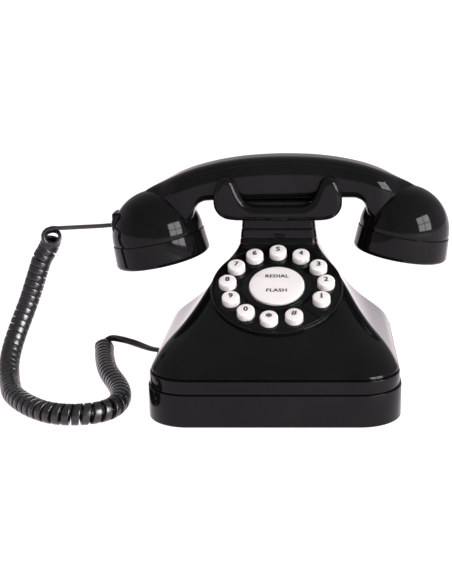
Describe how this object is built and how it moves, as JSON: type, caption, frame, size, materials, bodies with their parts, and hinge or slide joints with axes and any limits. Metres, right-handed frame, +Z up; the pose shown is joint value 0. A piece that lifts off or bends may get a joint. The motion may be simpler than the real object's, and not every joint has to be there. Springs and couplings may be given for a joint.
{
  "type": "cradle telephone",
  "caption": "Tabletop cradle telephone with a pyramid base, a ring of push buttons on a tilted dial and a lift-off handset on a curly cord.",
  "frame": {"origin": "on the table, under the middle of the base", "axes": "+Z up, +X to the right of someone facing the dial, +Y to the back"},
  "size_m": [0.3081, 0.1564, 0.1528],
  "materials": {
    "gloss_black": "high gloss moulded ABS",
    "white_plastic": "smooth, slightly warm white",
    "black_rubber": "matte",
    "grey_rubber": "matte silicone",
    "steel": "zinc plated",
    "circuit_board": "solder mask green",
    "black_plastic": "satin moulded",
    "cord_black": "shiny soft PVC"
  },
  "bodies": {
    "base": {"base_tray": "gloss_black", "upper_shell": "gloss_black", "dial_plate": "gloss_black", "dial_centre_ring": "gloss_black", "cradle": "gloss_black", "foot_front_left": "black_rubber", "foot_front_right": "black_rubber", "foot_back_left": "black_rubber", "foot_back_right": "black_rubber", "keypad_mat": "grey_rubber", "base_screw_front_left": "steel", "base_screw_front_right": "steel", "base_screw_back_left": "steel", "base_screw_back_right": "steel", "base_weight": "steel", "main_board": "circuit_board", "keypad_board": "circuit_board", "ringer": "black_plastic", "hook_switch": "black_plastic", "cord_socket": "black_plastic", "line_socket": "black_plastic", "cord_plug_base": "black_plastic", "cord_coil": "cord_black", "cord_lead_base": "cord_black"},
    "handset": {"handset_back_shell": "gloss_black", "handset_front_shell": "gloss_black", "handset_screw_left": "steel", "handset_screw_right": "steel", "handset_weight": "steel", "mouthpiece_grille": "black_plastic", "earpiece_grille": "black_plastic", "receiver_capsule": "black_plastic", "microphone": "steel", "cord_plug_handset": "black_plastic", "cord_lead_handset": "cord_black"},
    "plunger": {"hook_plunger": "gloss_black"},
    "rocker": {"redial_flash_button": "white_plastic"},
    "key_1_body": {"key_1": "white_plastic"},
    "key_2_body": {"key_2": "white_plastic"},
    "key_3_body": {"key_3": "white_plastic"},
    "key_4_body": {"key_4": "white_plastic"},
    "key_5_body": {"key_5": "white_plastic"},
    "key_6_body": {"key_6": "white_plastic"},
    "key_7_body": {"key_7": "white_plastic"},
    "key_8_body": {"key_8": "white_plastic"},
    "key_9_body": {"key_9": "white_plastic"},
    "key_0_body": {"key_0": "white_plastic"},
    "key_star_body": {"key_star": "white_plastic"},
    "key_hash_body": {"key_hash": "white_plastic"}
  },
  "joints": [
    {"name": "handset_lift", "type": "slide", "parent": "base", "child": "handset", "axis": [0, 0, 1], "range_m": [0, 0.06]},
    {"name": "hook_plunger_rise", "type": "slide", "parent": "base", "child": "plunger", "axis": [0, 0, 1], "range_m": [0, 0.0035], "stiffness_N_per_m": 150, "springref_m": 0.006},
    {"name": "rocker_tilt", "type": "hinge", "parent": "base", "child": "rocker", "pos_m": [0, -0.00852, 0.06852], "axis": [1, 0, 0], "range_deg": [-3.5, 3.5], "stiffness_Nm_per_rad": 0.115},
    {"name": "key_1_press", "type": "slide", "parent": "base", "child": "key_1_body", "axis": [0, 0.4695, -0.8829], "range_m": [0, 0.0015], "stiffness_N_per_m": 400, "springref_m": -0.0005},
    {"name": "key_2_press", "type": "slide", "parent": "base", "child": "key_2_body", "axis": [0, 0.4695, -0.8829], "range_m": [0, 0.0015], "stiffness_N_per_m": 400, "springref_m": -0.0005},
    {"name": "key_3_press", "type": "slide", "parent": "base", "child": "key_3_body", "axis": [0, 0.4695, -0.8829], "range_m": [0, 0.0015], "stiffness_N_per_m": 400, "springref_m": -0.0005},
    {"name": "key_4_press", "type": "slide", "parent": "base", "child": "key_4_body", "axis": [0, 0.4695, -0.8829], "range_m": [0, 0.0015], "stiffness_N_per_m": 400, "springref_m": -0.0005},
    {"name": "key_5_press", "type": "slide", "parent": "base", "child": "key_5_body", "axis": [0, 0.4695, -0.8829], "range_m": [0, 0.0015], "stiffness_N_per_m": 400, "springref_m": -0.0005},
    {"name": "key_6_press", "type": "slide", "parent": "base", "child": "key_6_body", "axis": [0, 0.4695, -0.8829], "range_m": [0, 0.0015], "stiffness_N_per_m": 400, "springref_m": -0.0005},
    {"name": "key_7_press", "type": "slide", "parent": "base", "child": "key_7_body", "axis": [0, 0.4695, -0.8829], "range_m": [0, 0.0015], "stiffness_N_per_m": 400, "springref_m": -0.0005},
    {"name": "key_8_press", "type": "slide", "parent": "base", "child": "key_8_body", "axis": [0, 0.4695, -0.8829], "range_m": [0, 0.0015], "stiffness_N_per_m": 400, "springref_m": -0.0005},
    {"name": "key_9_press", "type": "slide", "parent": "base", "child": "key_9_body", "axis": [0, 0.4695, -0.8829], "range_m": [0, 0.0015], "stiffness_N_per_m": 400, "springref_m": -0.0005},
    {"name": "key_0_press", "type": "slide", "parent": "base", "child": "key_0_body", "axis": [0, 0.4695, -0.8829], "range_m": [0, 0.0015], "stiffness_N_per_m": 400, "springref_m": -0.0005},
    {"name": "key_star_press", "type": "slide", "parent": "base", "child": "key_star_body", "axis": [0, 0.4695, -0.8829], "range_m": [0, 0.0015], "stiffness_N_per_m": 400, "springref_m": -0.0005},
    {"name": "key_hash_press", "type": "slide", "parent": "base", "child": "key_hash_body", "axis": [0, 0.4695, -0.8829], "range_m": [0, 0.0015], "stiffness_N_per_m": 400, "springref_m": -0.0005}
  ],
  "couplings": [
    {"joint": "hook_plunger_rise", "follows": "handset_lift", "ratio": 0.0583}
  ]
}
